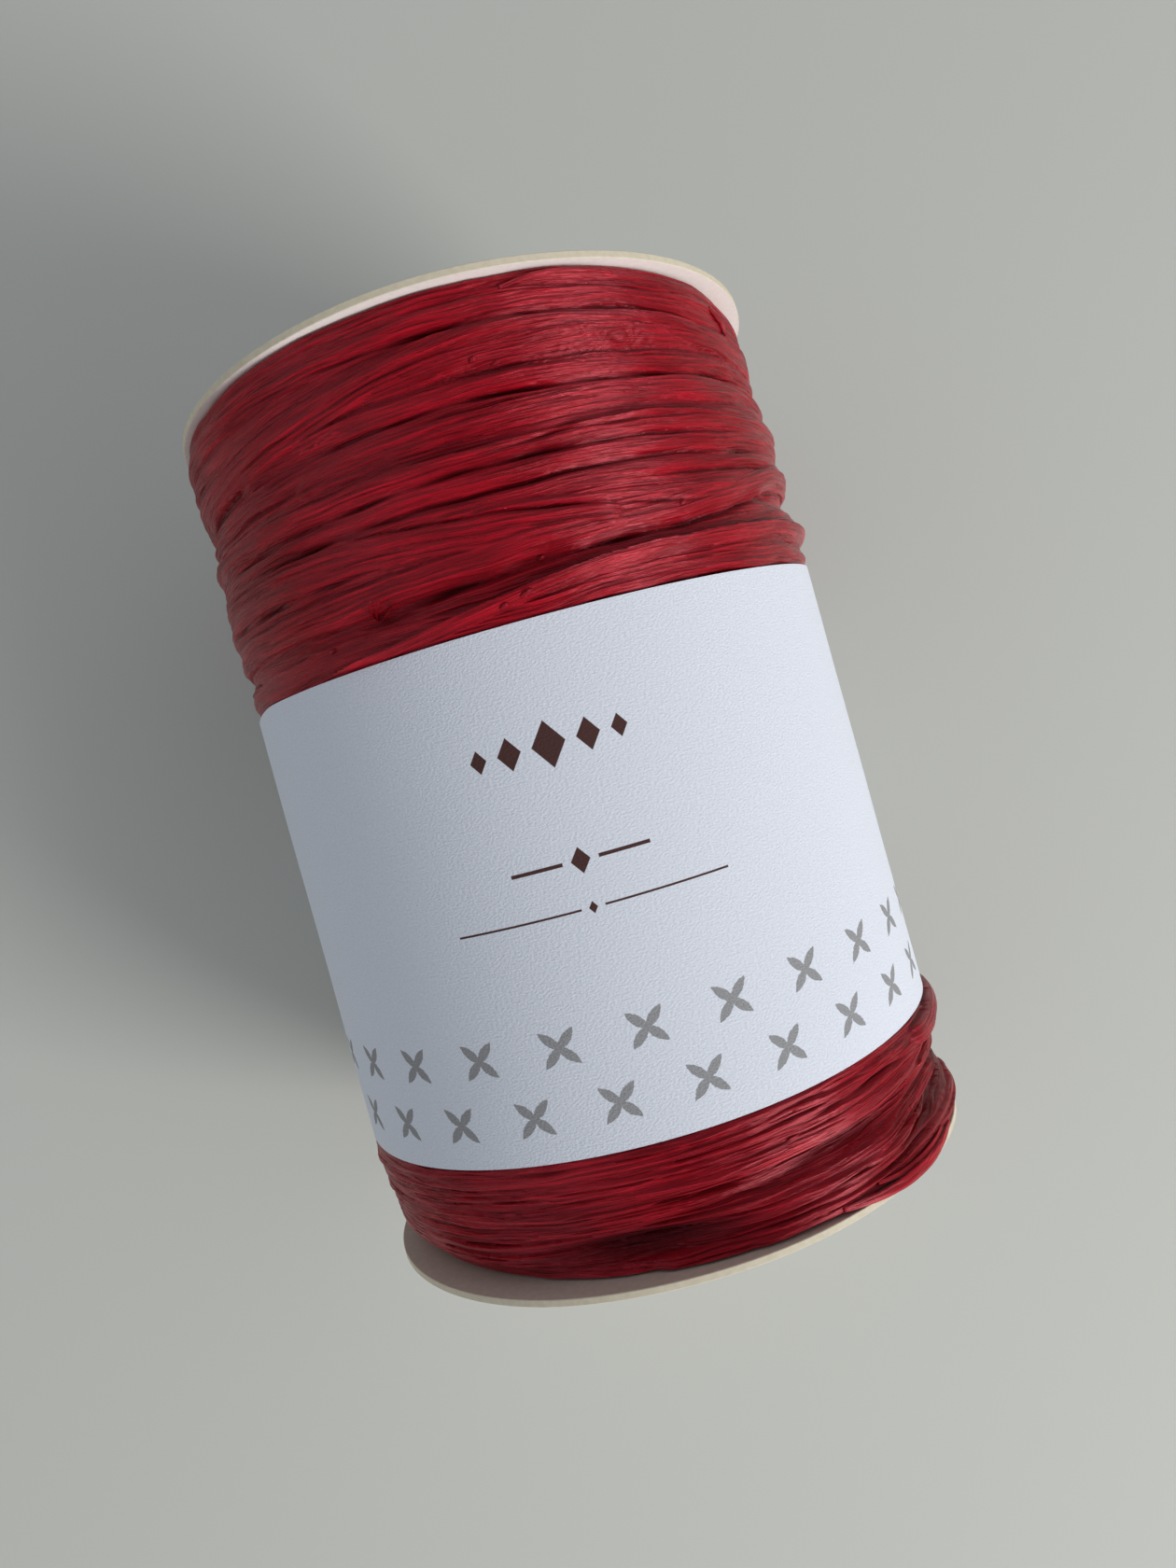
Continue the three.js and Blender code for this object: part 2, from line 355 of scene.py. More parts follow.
STRAND_STEP = 15
STRANDS = {
    "by the label": (2.8, -0.1, 0, 0, 165, 20.8, 20.2, 19.9, 19.6, 18.9, 18.4, 19.3, 19.7, 19.9, 20.3, 20.6),
    "in the fold's shade": (
        2.5, -0.55, -0.4, 0, 165, 23.8, 23.2, 22.5, 21.8, 21.9, 21.9, 22.9, 23.3, 24.3, 25.4, 26.4,
    ),
    "above the gap": (2.6, 0.25, 0.2, 0, 165, 26, 25.6, 25, 24.5, 24.6, 24.5, 25.3, 25.7, 27.7, 30.2, 31),
    "under the fan": (2.6, -0.1, 0, 0, 165, 28.4, 27.9, 27.2, 27, 27, 26.8, 27, 27.3, 28.6, 29.6),
    "fan, lower": (2.4, 0.15, 0.15, 0, 165, 30.2, 30, 29.5, 28.5, 27.4, 26.3, 25.7),
    "fan, upper": (2.6, 0.3, 0.15, 0, 165, 32.8, 32.3, 31.5, 30.3, 29, 27.8, 26.5),
    "right of the fan": (2, 0.05, -0.3, 0, 105, 30.2, 29.5, 28.9, 28.7, 29.4, 30.6, 31.6),
    "wedge": (2.3, 0, -0.1, 0, 120, 31.6, 31.3, 30.7, 31.1, 31, 31.7, 32.4, 32.8),
    "below the bright one": (
        2.6, 0.1, 0.15, 0, 165, 35.2, 34.3, 34, 33.5, 33.3, 33.1, 33.4, 33.5, 33.9, 34.6, 35,
    ),
    "bright": (2.2, 0.4, 0.4, 0, 165, 37.8, 37, 36.2, 35.6, 35.3, 35.2, 35.5, 35.8, 36, 36.4, 36.8),
    "above the bright one": (
        2.6, -0.1, -0.15, 0, 165, 39.6, 38.9, 38.1, 37.9, 37.7, 37.3, 37.6, 38, 38, 38.5, 38.9,
    ),
    "opening": (2.6, 0.15, 0.2, 0, 120, 39, 39, 39.1, 39.4, 40, 40.3, 40.9, 41.2),
    "closing": (2.7, 0, -0.3, 0, 165, 42.2, 41.4, 41.2, 40.9, 40.8, 40.9, 41.2, 41.5),
    "under the crossing, lower": (2, 0.1, 0.3, 0, 135, 43.6, 43.1, 42.9, 43, 42.9, 42.9, 43.4, 43.9, 44.2),
    "under the crossing, upper": (2.3, -0.05, -0.2, 1, 120, 44.2, 44.4, 44.3, 44.2, 44.4, 44.9, 45.3, 45.6),
    "crumpled": (2.3, 0.3, 0.3, 0.8, 105, 45.5, 46.2, 46.4, 46.5, 46.8, 47.2, 47.5),
    "over the crown": (2.8, 0.45, 0.1, 0, 165, 45.6, 45, 45.2, 45.7, 47.2, 48.5, 49, 48.3, 47.6, 47.4, 47.4),
    "left of the crossing": (3, -0.1, 0, 0, 165, 49.3, 48.4, 48, 48.6, 49.3, 49.6, 49.8),
    "below the long gap": (2.4, -0.05, -0.1, 0, 75, 49.3, 49, 48.9, 49, 49),
    "above the long gap": (
        2.8, 0.2, 0.1, 0, 165, 52.2, 51.7, 51.4, 51.4, 51.2, 51.4, 51.6, 51.4, 50.9, 50.7, 50.6,
    ),
    "at the upper disc": (
        2.4, 0.1, 0.2, 0, 165, 53.9, 53.4, 53.2, 53.3, 53.2, 53.4, 53.6, 53.3, 52.8, 52.5, 52.3,
    ),
    "fold by the label": (1.8, 0.45, 0.85, 0, 120, 17.6, 18.4, 19.8, 21.2, 21.6, 22.4, 22.9, 23.2),
    "lower 1": (
        1.9, 0, -0.1, 0, 165, -40.8, -40.9, -40.8, -40.9, -40.8, -40.8, -40.6, -40.6, -40.7, -41, -41.8,
    ),
    "lower 2": (2, 0.15, 0.2, 0, 165, -42.4, -42.2, -42, -42.3, -42.1, -42.1, -41.8, -42, -42, -42.3, -42.8),
    "lower 3": (
        1.9, 0.2, 0.2, 0, 165, -43.8, -43.6, -43.3, -43.6, -43.5, -43.4, -43.4, -43.4, -42.9, -42.9, -43.2,
    ),
    "lower 4": (
        1.8, 0.1, -0.1, 0, 165, -44.9, -44.8, -44.8, -45, -44.8, -44.6, -44.7, -44.6, -43.9, -43, -42.9,
    ),
    "lower 5": (
        1.9, 0.2, 0.2, 0, 165, -46.1, -46.1, -46.2, -46.2, -46, -45.9, -46, -46, -45.1, -43.7, -43.2,
    ),
    "lower 6": (
        2, 0.1, 0, 0, 165, -47.4, -47.4, -47.5, -47.6, -47.4, -47.4, -47.9, -47.7, -46.7, -45.1, -44.2,
    ),
    "lower 7": (
        2, -0.1, -0.1, 0, 165, -48.8, -48.8, -48.9, -49, -48.9, -48.9, -49.1, -48.9, -48, -46.7, -45.8,
    ),
    "lower 8": (2, 0.1, 0.4, 0.2, 165, -50.2, -50.2, -50.4, -50.5, -50.5, -50.6, -50.5, -49.9, -49, -47.9),
    "lower 9": (1.9, 0.1, 0.4, 0.2, 165, -51.8, -51.8, -51.9, -52.1, -52.2, -52, -51.5, -51.1, -50.8, -50.6),
    "rim 1": (1.5, 0.2, 0.2, 0.2, 90, -53.3, -52.8, -52.4, -52.3, -52, -51.4),
    "rim 2": (1.5, 0.4, 0.4, 0.2, 95, -54.1, -53.8, -53.4, -53.4, -53.1, -52.4),
    "rim 3": (1.3, 0.45, 0.4, 0.3, 80, -54.4, -54.2, -54.2, -53.9, -53.2),
    "tab": (2, 1.3, -0.4, 0.6, 34, -41.9, -41.2, -41.1),
    "rising behind": (2.8, 0.45, 0, 0, 305, 23, 26.6, 30.2, 33.8, 37.4, 41),
    "falling behind": (2.6, 0.4, 0, 0, 240, 50, 47.2, 44.4, 41.6, 38.8),
    "low behind": (2.4, 0.45, 0, 0, 300, -42, -43.4, -44.8, -46.2, -47.6, -49),
}

# How a strand's ends dive below its neighbours, how many degrees further those go whose ends are out of
# sight, past the angles from and to, and how uneven a strand is
DIVE = {"over": 10, "depth": 1.3}
OUT_OF_SIGHT = {"from": 160, "to": 20, "least": 4, "most": 34}
UNEVEN = {"place": 0.15, "width": 0.22, "level": 0.3, "tilt": 0.35, "tint": 0.6}


def course(angles, start, places):
    """A strand's last angle, the angles counted so that none breaks off along it, and its place along the
    spool at each, its corners rounded.
    """
    end = start - STRAND_STEP * (len(places) - 1)
    here = (start + end) / 2 + turned(angles, (start + end) / 2)
    stops = start - STRAND_STEP * np.arange(len(places))
    offsets = (-7, -3.5, 0, 3.5, 7)
    middle = sum(np.interp(-here + offset, -stops, places) for offset in offsets) / len(offsets)
    return end, here, middle - skew_at(middle) * np.sin(np.radians(here))


def ends_of(number, start, end):
    """A strand's end angles. Those behind are drawn out by uneven lengths."""
    least, most = OUT_OF_SIGHT["least"], OUT_OF_SIGHT["most"]
    before, after = (least + (most - least) * ((0.618 * number + part) % 1) for part in (0, 0.45))
    first = start + before if start >= OUT_OF_SIGHT["from"] else start
    last = end - after if end <= OUT_OF_SIGHT["to"] else end
    return first, last


def lay_strand(field, rows, angles, number, strand):
    """Lay one placed strand. Its ends dive below its neighbours."""
    width, level, tilt, crumpled, start, *places = strand
    end, here, middle = course(angles, start, places)
    spot = here / 25 + 10 * number
    middle = middle + UNEVEN["place"] * noise(3 * spot, number, 1)
    first, last = ends_of(number, start, end)
    left = np.minimum(first + DIVE["over"] - here, here - last + DIVE["over"]) / DIVE["over"]
    risen = soft_step(left)
    swell = 1 + UNEVEN["width"] * noise(spot, number, 60)
    widths = np.where(left > 0, 1.15 * width * (0.75 + 0.25 * risen) * swell, 0)
    levels = 1.3 * level + UNEVEN["level"] * noise(1.3 * spot, number, 62)
    levels = levels * risen - DIVE["depth"] * (1 - risen)
    tilts = 1.2 * tilt + UNEVEN["tilt"] * noise(1.6 * spot, number, 64)
    tint = UNEVEN["tint"] * noise(0.8 * spot, number, 66)
    along, nominal, seed = angles / 360 * GIRTH, 1.2 * width, 80 + number
    lay_ribbon(field, rows, along, middle, widths, nominal, levels, tilts, tint, seed, crumpled)


# Deep gaps between turns: half the width, the depth, the first angle, and the place along the spool there
# and at every 15 degrees less. They fade out over some degrees past each end

GAP_FADE = 8
GAPS = {
    "long gap": (0.32, 1, 110, 50.4, 50.1, 50.1, 50, 49.4, 49),
    "under the crossing": (0.32, 1, 125, 41.9, 41.8, 42, 41.8, 41.7, 42.1, 42.8),
    "by the bright one": (0.28, 0.9, 85, 36, 36.4, 36.8),
    "above the fan": (0.3, 0.9, 150, 35.3, 34.9, 34.6, 34.4, 34.5, 34.6, 34.8, 34.9),
    "over the wedge": (0.32, 1, 135, 32.6, 32.3, 31.9, 31.6, 32.1, 32.4, 32.8, 33.7),
    "through the fan": (0.26, 0.8, 135, 33, 31.7, 30.4, 29.1, 27.8, 26.6),
    "right of the fan": (0.26, 0.8, 65, 29.8, 30.4, 31),
    "left of the fan": (0.28, 0.9, 160, 29.1, 28.5, 28, 27.6),
    "over the fold": (0.6, 1.4, 115, 21.6, 22.9, 23.7, 24.2, 24.7, 27.2, 29.3),
    "lower, long": (0.45, 1.3, 95, -46.6, -46.9, -47, -46.4, -43.9, -42.3),
    "lower, by the label": (0.24, 0.7, 75, -41.1, -41.1, -41.1),
    "lower, second": (0.24, 0.7, 75, -42.9, -42.9, -42.6),
    "through the rim bundle": (0.25, 0.8, 72, -51.9, -50.4, -49, -48),
}


def gap_depths(rows, angles):
    """How deep the gaps are at each row and angle."""
    deepest = np.zeros((len(rows), len(angles)))
    for number, (half, depth, start, *places) in enumerate(GAPS.values()):
        end, here, middle = course(angles, start, places)
        middle = middle + UNEVEN["place"] * noise(here / 9, number, 90)
        left = np.minimum(start + GAP_FADE - here, here - end + GAP_FADE)
        ease = soft_step(left / (2 * GAP_FADE))
        uneven = depth * ease * np.clip(0.7 + 0.9 * noise(here / 11, number, 91), 0.1, 1.1)
        deepest = np.maximum(deepest, uneven * np.exp(-((rows[:, None] - middle) / half) ** 2))
    return deepest


def ribbon_field(angles, rows):
    """Height over the wound form, and the fibre's own coordinates, at each row and angle."""
    shape = (len(rows), len(angles))
    field = {
        "height": np.full(shape, FLOOR_LEVEL),
        "along": np.broadcast_to(angles / 360 * GIRTH, shape).copy(),
        "across": np.broadcast_to(rows[:, None], shape).copy(),
        "tint": np.full(shape, -0.5),
    }
    for thread in THREADS.values():
        lay_thread(field, rows, angles, thread)
    for number, strand in enumerate(STRANDS.values()):
        lay_strand(field, rows, angles, number, strand)
    field["height"] -= gap_depths(rows, angles)
    return field


# Meshes

# The share of each neighbour that softens the relief, how far below its surroundings, within a reach, a
# place gets full painted shade, and how alike the fibre coordinates of a face's corners are on one ribbon
SOFTENED = 0.15
HOLLOW = {"reach": 1.2, "depth": 0.65}
ONE_RIBBON = {"along": 30, "across": 1.2}


def add_uvs(mesh, layers):
    for layer, values in layers.items():
        mesh.uv_layers.new(name=layer).data.foreach_set("uv", np.asarray(values, np.float32).ravel())


def add_values(mesh, layer, values):
    """One value for each vertex, which the materials read."""
    attribute = mesh.attributes.new(layer, "FLOAT", "POINT")
    attribute.data.foreach_set("value", np.asarray(values, np.float32).ravel())


def corners_of(values):
    """Values at rows and columns, both closed on themselves, as each face's four corners."""
    above = np.roll(values, -1, 0)
    return np.stack([values, above, np.roll(above, -1, 1), np.roll(values, -1, 1)], -1)


def ring_mesh(name, points, uvs=None, sharp=None):
    """A closed ring from points[row, column]: rows go round its section, columns round the spool."""
    rows, columns = points.shape[:2]
    quads = corners_of(np.arange(rows * columns).reshape(rows, columns)).reshape(-1, 4)
    mesh = bpy.data.meshes.new(name)
    mesh.vertices.add(rows * columns)
    mesh.vertices.foreach_set("co", (points * MM).astype(np.float32).ravel())
    mesh.loops.add(quads.size)
    mesh.loops.foreach_set("vertex_index", quads.astype(np.int32).ravel())
    mesh.polygons.add(len(quads))
    mesh.polygons.foreach_set("loop_start", np.arange(0, quads.size, 4, dtype=np.int32))
    mesh.update(calc_edges=True)
    sheet = np.zeros((rows, columns, 4, 2))
    sheet[..., 0] = (np.arange(columns)[None, :, None] + np.array([0, 0, 1, 1])) / columns
    sheet[..., 1] = (np.arange(rows)[:, None, None] + np.array([0, 1, 1, 0])) / rows
    add_uvs(mesh, {**(uvs or {}), "OFBake": sheet})
    mesh.shade_smooth()
    if sharp:
        mesh.set_sharp_from_angle(angle=math.radians(sharp))
    return mesh


def add_piece(name, mesh, material, slot, *nodes):
    piece = bpy.data.objects.new(name, mesh)
    bpy.context.scene.collection.objects.link(piece)
    mesh.materials.append(material)
    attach(piece, "root")
    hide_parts(*nodes)


def placed(angle, y, radius):
    """Points in the frame, in mm, pressed flat where they would reach below the surface."""
    theta = np.radians(angle)
    angle, y, radius = np.broadcast_arrays(angle, y, radius)
    along = y + skew_at(y) * np.sin(theta)
    height = np.maximum(AXIS_HEIGHT + radius * np.sin(theta), 0)
    return np.stack([radius * np.cos(theta), along, height], -1)


def zone(low, high):
    """The ribbons' surface between two places along the spool, with fibre coordinates and painted shade."""
    rows = np.linspace(low, high, round((high - low) / ROW_STEP) + 1)
    angles = np.arange(COLUMNS) * 360 / COLUMNS
    field = ribbon_field(angles, rows)
    height = field["height"]
    neighbours = SOFTENED * height[:-2] + SOFTENED * height[2:]
    height[1:-1] = (1 - 2 * SOFTENED) * height[1:-1] + neighbours
    angle_grid, row_grid = np.meshgrid(angles, rows)
    y = drawn(angle_grid, row_grid, low, high)
    radius = held_in(wound_level(angle_grid, y) + FILL + height)
    field["points"] = placed(angle_grid, y, dip_at_label(y, radius))
    # The depth layer carries painted shade: darker colour deep in the gaps and in the hollows
    field["depth"] = np.maximum(painted_gap_shade(height), sunk_share(angle_grid, y))
    field["y"], field["low"], field["high"] = y, low, high
    return field


def held_in(radius):
    """Ribbons that would stand too far out are pressed closer, without losing their relief."""
    limit = DISC_RADIUS + PROUD
    over = np.maximum(radius - (limit - PRESSED), 0)
    return np.where(over > 0, limit - PRESSED * np.exp(-over / PRESSED), radius)


def dip_at_label(y, radius):
    """The raffia is held down under the label and rises again beside it."""
    beside = np.where(y > 0, y - LABEL_EDGES["upper"], LABEL_EDGES["lower"] - y)
    held = LABEL_RADIUS - LABEL_THICKNESS - HELD["gap"] + HELD["rise"] * soft_step(beside / HELD["over"])
    return np.where(beside < HELD["over"], np.minimum(radius, held), radius)


def painted_gap_shade(height):
    """Painted shade for the gaps: 0 on the ribbons' crests to 1 deep in the gaps between them."""
    reach = round(HOLLOW["reach"] / ROW_STEP)
    weights = np.hanning(2 * reach + 1)
    padded = np.pad(height, ((reach, reach), (0, 0)), mode="edge")
    around = sum(w * padded[i:i + len(height)] for i, w in enumerate(weights)) / weights.sum()
    return np.clip((around - height) / HOLLOW["depth"], 0, 1)


def ring_of_zone(name, field, first, last):
    """A closed ring of the zone's rows from first to last, with walls at its ends and a plain inside."""
    outside = field["points"][first:last + 1]
    columns = outside.shape[1]
    angles = np.arange(columns) * 360 / columns
    core = DISC_RADIUS - CORE_DEPTH
    inside = [placed(angles, field["y"][row], core) for row in (last, first)]
    points = np.concatenate([outside, np.array(inside)])
    count = len(points)
    fibre = np.zeros((count, columns, 4, 2))
    along, across = (field[key][first:last + 1] for key in ("along", "across"))
    corners = [corners_of(values)[:-1] for values in (along, across)]
    steps = [np.abs(four - values[:-1, :, None]) for four, values in zip(corners, (along, across))]
    near = (steps[0] < ONE_RIBBON["along"]) & (steps[1] < ONE_RIBBON["across"])
    for axis, (values, four) in enumerate(zip((along, across), corners)):
        fibre[:count - 3, :, :, axis] = np.where(near, four, values[:-1, :, None])
    mesh = ring_mesh(name, points, {"fibre": fibre}, sharp=80)
    # tint is each ribbon's own tone; depth is the painted shade of the gaps and hollows
    for layer in ("tint", "depth"):
        values = np.zeros((count, columns))
        values[:count - 2] = field[layer][first:last + 1]
        add_values(mesh, layer, values)
    return mesh


# Loose strips on the turns: each is a list of points, each with its angle, place along the spool, lift off
# what lies below and width. The tuft's fibres stand off, the nubs are short torn ends

STRIPS = [
    [
        (68, -53.8, 0, 0.5), (60, -54.5, 0.35, 1.1), (51, -54.9, 0.5, 1.4), (42, -54.7, 0.45, 1.3),
        (32, -53.9, 0, 0.5),
    ],
    [(60, -53.2, 0, 0.4), (52, -54.2, 0.5, 0.8), (44, -54.1, 0.6, 0.8), (36, -53.3, 0, 0.4)],
    [(82, 52.9, 0, 0.3), (75, 53.8, 0.4, 0.7), (66, 53.9, 0.3, 0.6), (60, 53.6, 0, 0.3)],
    [(89, 22.5, -0.1, 0.2), (84, 22.9, 0.15, 0.4), (77, 23.2, 0.15, 0.4), (71, 23.2, -0.1, 0.2)],
    [(86, 28.8, -0.1, 0.2), (77, 29.5, 0.1, 0.5), (66, 29.4, 0.1, 0.5), (56, 28.9, -0.1, 0.2)],
    [(36, 51.9, -0.1, 0.4), (32.5, 51, 0.25, 0.9), (30.5, 50, 0.25, 0.8), (30, 48.9, -0.1, 0.3)],
    [(115.6, 22.4, -0.1, 0.3), (114.2, 23, 0.8, 0.34), (112.9, 23.5, 1.2, 0.26), (111.8, 23.8, 1.3, 0.1)],
    [(115.9, 22.6, -0.1, 0.3), (114.9, 23.3, 0.7, 0.3), (113.8, 24, 0.9, 0.2), (113.1, 24.5, 0.8, 0.08)],
    [(115.2, 22.2, -0.1, 0.3), (113.5, 22.6, 0.6, 0.3), (111.8, 23, 0.8, 0.2), (110.4, 23.3, 0.6, 0.08)],
]
NUB_COLUMNS = ("angle", "y", "half_turn", "half_rise", "lift", "width")
NUBS = [
    (88.3, 46, 0.9, 0.12, 0.45, 0.55), (84.8, 45.3, 1.1, 0.1, 0.3, 0.4), (93.8, 19.4, 0.9, 0.2, 0.4, 0.45),
    (90, 20.1, 1.2, 0.2, 0.35, 0.35), (86.3, 23.6, 0.8, 0.1, 0.4, 0.4), (60.4, 26.4, 0.9, 0.25, 0.4, 0.45),
    (125, 20.9, 1, 0.15, 0.4, 0.45), (150, 38.3, 1.5, 0.2, 0.4, 0.4), (38, -45, 1.3, 0.3, 0.35, 0.4),
    (72, -44.4, 1.5, 0.1, 0.3, 0.35), (118, -48.2, 1.4, 0.1, 0.35, 0.4),
]
STRIP_SIDES = 12


def resting_radius(fields, angle, y):
    """How far from the axis the raffia's surface is, or the disc's rim past the raffia's end."""
    straight = y - skew_at(y) * math.sin(math.radians(angle))
    for field in fields:
        rows, columns = field["y"].shape
        if field["low"] <= straight <= field["high"]:
            row = round((straight - field["low"]) / (field["high"] - field["low"]) * (rows - 1))
            x, _, z = field["points"][row, round(angle / 360 * columns) % columns]
            return math.hypot(x, z - AXIS_HEIGHT)
    return DISC_RADIUS


def rounded(values, count):
    """Values between the given ones, evenly spaced, their corners rounded."""
    at = np.linspace(0, len(values) - 1, count)
    return sum(np.interp(at + step, range(len(values)), values) for step in (-0.4, -0.2, 0, 0.2, 0.4)) / 5


def strip_points(fields, strip, seed):
    """The outline of a loose strip at each step of its length."""
    count = 8 * len(strip) + 1
    angle, y, lift, width = (rounded(column, count) for column in np.array(strip).T)
    base = rounded([resting_radius(fields, row[0], row[1]) for row in strip], count)
    theta = np.radians(angle)
    out = np.stack([np.cos(theta), 0 * theta, np.sin(theta)], -1)
    middle = out * (base + lift)[:, None] + np.stack([0 * y, y, AXIS_HEIGHT + 0 * y], -1)
    along = np.gradient(middle, axis=0)
    side = np.cross(along, out)
    side /= np.linalg.norm(side, axis=1, keepdims=True)
    turn = np.arange(STRIP_SIDES) * 2 * math.pi / STRIP_SIDES
    thick = (0.22 + 0.3 * width)[:, None] * (1 + 0.5 * noise(turn * 3, np.arange(count)[:, None] / 6, seed))
    points = middle[:, None] + side[:, None] * (width[:, None] / 2 * np.cos(turn))[..., None]
    return points + out[:, None] * (thick / 2 * np.sin(turn))[..., None]


def strips_mesh(name, outlines):
    """Closed strips as one mesh, each with its fibre coordinates and its own part of the unrolled sheet."""
    places, faces, fibre, sheet = [], [], [], []
    for number, points in enumerate(outlines):
        rows, sides = points.shape[:2]
        first = sum(len(part) for part in places)
        places.append(points.reshape(-1, 3))
        lengths = np.append(0, np.cumsum(np.linalg.norm(np.diff(points[:, 0], axis=0), axis=1)))
        for row in range(rows - 1):
            for side in range(sides):
                corners = [(row, side), (row + 1, side), (row + 1, side + 1), (row, side + 1)]
                faces.append([first + r * sides + s % sides for r, s in corners])
                fibre += [(lengths[r] + 50 * number, 0.12 * s) for r, s in corners]
                sheet += [(s / sides, (number + 0.85 * r / rows) / len(outlines)) for r, s in corners]
        for row, at in ((0, 0.1), (rows - 1, 0.3)):
            loop = range(sides) if row else range(sides - 1, -1, -1)
            faces.append([first + row * sides + s for s in loop])
            fibre += [(lengths[row] + 50 * number, 0.12 * s) for s in loop]
            angles = [2 * math.pi * s / sides for s in loop]
            ups = [(number + 0.93 + 0.05 * math.sin(a)) / len(outlines) for a in angles]
            sheet += [(at + 0.05 * math.cos(a), up) for a, up in zip(angles, ups)]
    mesh = bpy.data.meshes.new(name)
    mesh.from_pydata(np.concatenate(places) * MM, [], faces)
    add_uvs(mesh, {"fibre": fibre, "OFBake": sheet})
    # The strips get their own tone and no painted shade
    for layer, value in (("tint", 0.3), ("depth", 0.0)):
        add_values(mesh, layer, np.full(len(mesh.vertices), value))
    mesh.shade_smooth()
    return mesh


def nub_strip(nub):
    """A short strip that rises from the turn it lies on and ends again."""
    n = dict(zip(NUB_COLUMNS, nub))
    steps = ((-1, -0.5, 0.2), (-0.4, 0.3, 1.0), (0.4, 0.5, 0.9), (1, -0.4, 0.2))
    return [
        (n["angle"] - s * n["half_turn"], n["y"] + s * n["half_rise"], lift * n["lift"], wide * n["width"])
        for s, lift, wide in steps
    ]


# Materials

class Nodes:
    """A small help to write the nodes of a material or a world."""

    def __init__(self, owner, last):
        owner.use_nodes = True
        self.owner = owner
        self.tree = owner.node_tree
        self.last = self.tree.nodes[last]

    def give(self, socket, value):
        """Link a socket to another node's, or set its value."""
        if isinstance(value, bpy.types.NodeSocket):
            self.tree.links.new(value, socket)
        else:
            socket.default_value = value

    def add(self, kind, inputs=None, **settings):
        node = self.tree.nodes.new(kind)
        for key, value in settings.items():
            setattr(node, key, value)
        for key, value in (inputs or {}).items():
            self.give(node.inputs[key], value)
        return node

    def math(self, operation, *values):
        return self.add("ShaderNodeMath", dict(enumerate(values)), operation=operation).outputs[0]

    def mix(self, share, first, second):
        return self.add("ShaderNodeMix", {0: share, 6: first, 7: second}, data_type="RGBA").outputs[2]

    def ramp(self, value, low, high, to_low=0, to_high=1, **settings):
        inputs = {"Value": value, "From Min": low, "From Max": high, "To Min": to_low, "To Max": to_high}
        return self.add("ShaderNodeMapRange", inputs, **settings).outputs[0]

    def texture(self, uv, along, across, detail):
        """Noise on a layout in mm, its grains so long and wide."""
        scale = (1 / along, 1 / across, 1)
        scaled = self.add("ShaderNodeVectorMath", {0: uv, 1: scale}, operation="MULTIPLY").outputs[0]
        inputs = {"Vector": scaled, "Scale": 1, "Detail": detail}
        return self.add("ShaderNodeTexNoise", inputs, noise_dimensions="2D").outputs["Fac"]

    def set(self, **values):
        """Inputs of the last node, spaces written as underlines."""
        for key, value in values.items():
            self.give(self.last.inputs[key.replace("_", " ")], value)


def new_material(name):
    return Nodes(bpy.data.materials.new(name), "Principled BSDF")


def rgb(*screen):
    """A colour from its screen values, 0 to 255."""
    shares = [value / 255 for value in screen]
    return tuple(c / 12.92 if c <= 0.04045 else ((c + 0.055) / 1.055) ** 2.4 for c in shares) + (1,)


def raffia_material():
    """Silky fibres: streaks along each ribbon, painted shade in the gaps, and a sheen stretched across them.
    """
    n = new_material("raffia")
    uv = n.add("ShaderNodeUVMap", uv_map="fibre").outputs[0]
    tint = n.add("ShaderNodeAttribute", attribute_name="tint").outputs["Fac"]
    depth = n.add("ShaderNodeAttribute", attribute_name="depth").outputs["Fac"]
    fine = n.texture(uv, 8, 0.36, 3)
    broad = n.texture(uv, 26, 1, 2)
    colour = n.mix(n.ramp(fine, 0.34, 0.67), rgb(122, 3, 15), rgb(174, 14, 34))
    colour = n.mix(n.math("MULTIPLY", n.ramp(broad, 0.42, 0.7), 0.45), colour, rgb(98, 1, 11))
    colour = n.mix(n.math("MULTIPLY", n.ramp(tint, -0.1, 0.6), 0.35), colour, rgb(184, 24, 44))
    colour = n.mix(n.math("MULTIPLY", n.ramp(tint, -0.1, -0.6), 0.4), colour, rgb(98, 1, 10))
    # Painted shade: the colour darkens towards red-black in the gaps and hollows, after the depth layer
    colour = n.mix(n.math("MULTIPLY", depth, 0.8), colour, rgb(40, 0, 3))
    bump = n.add("ShaderNodeBump", {"Height": fine, "Strength": 1.0, "Distance": 0.00065})
    silk = n.math("ADD", n.math("MULTIPLY", broad, 0.22), 0.27)
    across = n.add("ShaderNodeTangent", direction_type="UV_MAP", uv_map="fibre").outputs[0]
    n.set(Base_Color=colour, Roughness=silk, Normal=bump.outputs[0])
    n.set(Specular_IOR_Level=1.0, Specular_Tint=(1, 0.25, 0.3, 1))
    n.set(Anisotropic=1.0, Anisotropic_Rotation=0.25, Tangent=across)
    return n.owner


